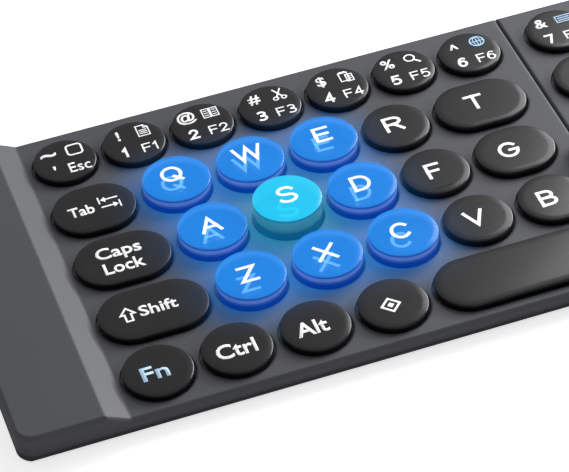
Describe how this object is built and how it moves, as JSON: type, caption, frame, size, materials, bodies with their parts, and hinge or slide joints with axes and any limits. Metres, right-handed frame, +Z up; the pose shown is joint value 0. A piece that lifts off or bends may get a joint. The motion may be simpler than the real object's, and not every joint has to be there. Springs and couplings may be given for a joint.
{
  "type": "folding keyboard",
  "caption": "Two-part folding keyboard with round keys, a raised block at each outer end and a stepped seam; the right half folds over the left on a knuckle hinge.",
  "frame": {"origin": "middle of the opened keyboard's footprint, on the table", "axes": "+X to the typist's right along both halves, +Y away from the typist, +Z up out of the keys"},
  "size_m": [0.2792, 0.0928, 0.0095],
  "materials": {
    "deck_plastic": "fine satin moulding",
    "shell_plastic": "fine satin moulding",
    "key_black": "satin with a polished edge",
    "key_blue": "clear blue cap lit from below",
    "key_cyan": "clear cyan cap lit from below",
    "foot_rubber": "matte",
    "screw_steel": "plain",
    "plate_steel": "rolled sheet",
    "foil_film": "printed film",
    "dome_silicone": "milky silicone",
    "battery_foil": "laminate pouch",
    "circuit_board": "solder mask",
    "socket_steel": "drawn shell",
    "switch_plastic": "moulded",
    "light_pipe": "clear",
    "magnet_metal": "nickel plated",
    "hinge_metal": "satin coated steel",
    "pin_steel": "ground"
  },
  "bodies": {
    "left_half": {"left_bottom_shell": "shell_plastic", "left_deck": "deck_plastic", "left_feet": "foot_rubber", "left_screws": "screw_steel", "left_support_plate": "plate_steel", "left_contact_foil": "foil_film", "left_dome_sheet": "dome_silicone", "battery": "battery_foil", "main_board": "circuit_board", "charging_socket": "socket_steel", "status_light": "light_pipe", "left_magnet": "magnet_metal", "hinge_left_leaf": "hinge_metal", "hinge_pin": "pin_steel"},
    "right_half": {"hinge_right_leaf": "hinge_metal", "right_bottom_shell": "shell_plastic", "right_deck": "deck_plastic", "right_feet": "foot_rubber", "right_screws": "screw_steel", "right_support_plate": "plate_steel", "right_contact_foil": "foil_film", "right_dome_sheet": "dome_silicone", "right_magnet": "magnet_metal", "right_rests": "foot_rubber"},
    "power_switch": {"power_switch": "switch_plastic"},
    "key_esc": {"key_esc": "key_black"},
    "key_1": {"key_1": "key_black"},
    "key_2": {"key_2": "key_black"},
    "key_3": {"key_3": "key_black"},
    "key_4": {"key_4": "key_black"},
    "key_5": {"key_5": "key_black"},
    "key_6": {"key_6": "key_black"},
    "key_tab": {"key_tab": "key_black"},
    "key_q": {"key_q": "key_blue"},
    "key_w": {"key_w": "key_blue"},
    "key_e": {"key_e": "key_blue"},
    "key_r": {"key_r": "key_black"},
    "key_t": {"key_t": "key_black"},
    "key_caps": {"key_caps": "key_black"},
    "key_a": {"key_a": "key_blue"},
    "key_s": {"key_s": "key_cyan"},
    "key_d": {"key_d": "key_blue"},
    "key_f": {"key_f": "key_black"},
    "key_g": {"key_g": "key_black"},
    "key_shift": {"key_shift": "key_black"},
    "key_z": {"key_z": "key_blue"},
    "key_x": {"key_x": "key_blue"},
    "key_c": {"key_c": "key_blue"},
    "key_v": {"key_v": "key_black"},
    "key_b": {"key_b": "key_black"},
    "key_fn": {"key_fn": "key_black"},
    "key_ctrl": {"key_ctrl": "key_black"},
    "key_alt": {"key_alt": "key_black"},
    "key_command": {"key_command": "key_black"},
    "key_space_left": {"key_space_left": "key_black"},
    "keys_right_numbers": {"keys_right_numbers": "key_black"},
    "keys_right_upper": {"keys_right_upper": "key_black"},
    "keys_right_home": {"keys_right_home": "key_black"},
    "keys_right_lower": {"keys_right_lower": "key_black"},
    "keys_right_space": {"keys_right_space": "key_black"}
  },
  "joints": [
    {"name": "fold", "type": "hinge", "parent": "left_half", "child": "right_half", "pos_m": [0, -0.0238, 0.00775], "axis": [0, -1, 0], "range_deg": [0, 180]},
    {"name": "power_slide", "type": "slide", "parent": "left_half", "child": "power_switch", "axis": [1, 0, 0], "range_m": [0, 0.002]},
    {"name": "press_s", "type": "slide", "parent": "left_half", "child": "key_s", "axis": [0, 0, -1], "range_m": [0, 0.0012], "stiffness_N_per_m": 200, "springref_m": -0.001, "deforming": ["left_dome_sheet"]},
    {"name": "press_q", "type": "slide", "parent": "left_half", "child": "key_q", "axis": [0, 0, -1], "range_m": [0, 0.0012], "stiffness_N_per_m": 200, "springref_m": -0.001, "deforming": ["left_dome_sheet"]},
    {"name": "press_space_left", "type": "slide", "parent": "left_half", "child": "key_space_left", "axis": [0, 0, -1], "range_m": [0, 0.0012], "stiffness_N_per_m": 200, "springref_m": -0.001, "deforming": ["left_dome_sheet"]},
    {"name": "press_esc", "type": "slide", "parent": "left_half", "child": "key_esc", "axis": [0, 0, -1], "range_m": [0, 0.0012], "stiffness_N_per_m": 200, "springref_m": -0.001, "deforming": ["left_dome_sheet"]},
    {"name": "press_1", "type": "slide", "parent": "left_half", "child": "key_1", "axis": [0, 0, -1], "range_m": [0, 0.0012], "stiffness_N_per_m": 200, "springref_m": -0.001, "deforming": ["left_dome_sheet"]},
    {"name": "press_2", "type": "slide", "parent": "left_half", "child": "key_2", "axis": [0, 0, -1], "range_m": [0, 0.0012], "stiffness_N_per_m": 200, "springref_m": -0.001, "deforming": ["left_dome_sheet"]},
    {"name": "press_3", "type": "slide", "parent": "left_half", "child": "key_3", "axis": [0, 0, -1], "range_m": [0, 0.0012], "stiffness_N_per_m": 200, "springref_m": -0.001, "deforming": ["left_dome_sheet"]},
    {"name": "press_4", "type": "slide", "parent": "left_half", "child": "key_4", "axis": [0, 0, -1], "range_m": [0, 0.0012], "stiffness_N_per_m": 200, "springref_m": -0.001, "deforming": ["left_dome_sheet"]},
    {"name": "press_5", "type": "slide", "parent": "left_half", "child": "key_5", "axis": [0, 0, -1], "range_m": [0, 0.0012], "stiffness_N_per_m": 200, "springref_m": -0.001, "deforming": ["left_dome_sheet"]},
    {"name": "press_6", "type": "slide", "parent": "left_half", "child": "key_6", "axis": [0, 0, -1], "range_m": [0, 0.0012], "stiffness_N_per_m": 200, "springref_m": -0.001, "deforming": ["left_dome_sheet"]},
    {"name": "press_tab", "type": "slide", "parent": "left_half", "child": "key_tab", "axis": [0, 0, -1], "range_m": [0, 0.0012], "stiffness_N_per_m": 200, "springref_m": -0.001, "deforming": ["left_dome_sheet"]},
    {"name": "press_w", "type": "slide", "parent": "left_half", "child": "key_w", "axis": [0, 0, -1], "range_m": [0, 0.0012], "stiffness_N_per_m": 200, "springref_m": -0.001, "deforming": ["left_dome_sheet"]},
    {"name": "press_e", "type": "slide", "parent": "left_half", "child": "key_e", "axis": [0, 0, -1], "range_m": [0, 0.0012], "stiffness_N_per_m": 200, "springref_m": -0.001, "deforming": ["left_dome_sheet"]},
    {"name": "press_r", "type": "slide", "parent": "left_half", "child": "key_r", "axis": [0, 0, -1], "range_m": [0, 0.0012], "stiffness_N_per_m": 200, "springref_m": -0.001, "deforming": ["left_dome_sheet"]},
    {"name": "press_t", "type": "slide", "parent": "left_half", "child": "key_t", "axis": [0, 0, -1], "range_m": [0, 0.0012], "stiffness_N_per_m": 200, "springref_m": -0.001, "deforming": ["left_dome_sheet"]},
    {"name": "press_caps", "type": "slide", "parent": "left_half", "child": "key_caps", "axis": [0, 0, -1], "range_m": [0, 0.0012], "stiffness_N_per_m": 200, "springref_m": -0.001, "deforming": ["left_dome_sheet"]},
    {"name": "press_a", "type": "slide", "parent": "left_half", "child": "key_a", "axis": [0, 0, -1], "range_m": [0, 0.0012], "stiffness_N_per_m": 200, "springref_m": -0.001, "deforming": ["left_dome_sheet"]},
    {"name": "press_d", "type": "slide", "parent": "left_half", "child": "key_d", "axis": [0, 0, -1], "range_m": [0, 0.0012], "stiffness_N_per_m": 200, "springref_m": -0.001, "deforming": ["left_dome_sheet"]},
    {"name": "press_f", "type": "slide", "parent": "left_half", "child": "key_f", "axis": [0, 0, -1], "range_m": [0, 0.0012], "stiffness_N_per_m": 200, "springref_m": -0.001, "deforming": ["left_dome_sheet"]},
    {"name": "press_g", "type": "slide", "parent": "left_half", "child": "key_g", "axis": [0, 0, -1], "range_m": [0, 0.0012], "stiffness_N_per_m": 200, "springref_m": -0.001, "deforming": ["left_dome_sheet"]},
    {"name": "press_shift", "type": "slide", "parent": "left_half", "child": "key_shift", "axis": [0, 0, -1], "range_m": [0, 0.0012], "stiffness_N_per_m": 200, "springref_m": -0.001, "deforming": ["left_dome_sheet"]},
    {"name": "press_z", "type": "slide", "parent": "left_half", "child": "key_z", "axis": [0, 0, -1], "range_m": [0, 0.0012], "stiffness_N_per_m": 200, "springref_m": -0.001, "deforming": ["left_dome_sheet"]},
    {"name": "press_x", "type": "slide", "parent": "left_half", "child": "key_x", "axis": [0, 0, -1], "range_m": [0, 0.0012], "stiffness_N_per_m": 200, "springref_m": -0.001, "deforming": ["left_dome_sheet"]},
    {"name": "press_c", "type": "slide", "parent": "left_half", "child": "key_c", "axis": [0, 0, -1], "range_m": [0, 0.0012], "stiffness_N_per_m": 200, "springref_m": -0.001, "deforming": ["left_dome_sheet"]},
    {"name": "press_v", "type": "slide", "parent": "left_half", "child": "key_v", "axis": [0, 0, -1], "range_m": [0, 0.0012], "stiffness_N_per_m": 200, "springref_m": -0.001, "deforming": ["left_dome_sheet"]},
    {"name": "press_b", "type": "slide", "parent": "left_half", "child": "key_b", "axis": [0, 0, -1], "range_m": [0, 0.0012], "stiffness_N_per_m": 200, "springref_m": -0.001, "deforming": ["left_dome_sheet"]},
    {"name": "press_fn", "type": "slide", "parent": "left_half", "child": "key_fn", "axis": [0, 0, -1], "range_m": [0, 0.0012], "stiffness_N_per_m": 200, "springref_m": -0.001, "deforming": ["left_dome_sheet"]},
    {"name": "press_ctrl", "type": "slide", "parent": "left_half", "child": "key_ctrl", "axis": [0, 0, -1], "range_m": [0, 0.0012], "stiffness_N_per_m": 200, "springref_m": -0.001, "deforming": ["left_dome_sheet"]},
    {"name": "press_alt", "type": "slide", "parent": "left_half", "child": "key_alt", "axis": [0, 0, -1], "range_m": [0, 0.0012], "stiffness_N_per_m": 200, "springref_m": -0.001, "deforming": ["left_dome_sheet"]},
    {"name": "press_command", "type": "slide", "parent": "left_half", "child": "key_command", "axis": [0, 0, -1], "range_m": [0, 0.0012], "stiffness_N_per_m": 200, "springref_m": -0.001, "deforming": ["left_dome_sheet"]},
    {"name": "press_right_numbers", "type": "slide", "parent": "right_half", "child": "keys_right_numbers", "axis": [0, 0, -1], "range_m": [0, 0.0012], "stiffness_N_per_m": 600, "springref_m": -0.001, "deforming": ["right_dome_sheet"]},
    {"name": "press_right_upper", "type": "slide", "parent": "right_half", "child": "keys_right_upper", "axis": [0, 0, -1], "range_m": [0, 0.0012], "stiffness_N_per_m": 600, "springref_m": -0.001, "deforming": ["right_dome_sheet"]},
    {"name": "press_right_home", "type": "slide", "parent": "right_half", "child": "keys_right_home", "axis": [0, 0, -1], "range_m": [0, 0.0012], "stiffness_N_per_m": 600, "springref_m": -0.001, "deforming": ["right_dome_sheet"]},
    {"name": "press_right_lower", "type": "slide", "parent": "right_half", "child": "keys_right_lower", "axis": [0, 0, -1], "range_m": [0, 0.0012], "stiffness_N_per_m": 600, "springref_m": -0.001, "deforming": ["right_dome_sheet"]},
    {"name": "press_right_space", "type": "slide", "parent": "right_half", "child": "keys_right_space", "axis": [0, 0, -1], "range_m": [0, 0.0012], "stiffness_N_per_m": 600, "springref_m": -0.001, "deforming": ["right_dome_sheet"]}
  ]
}
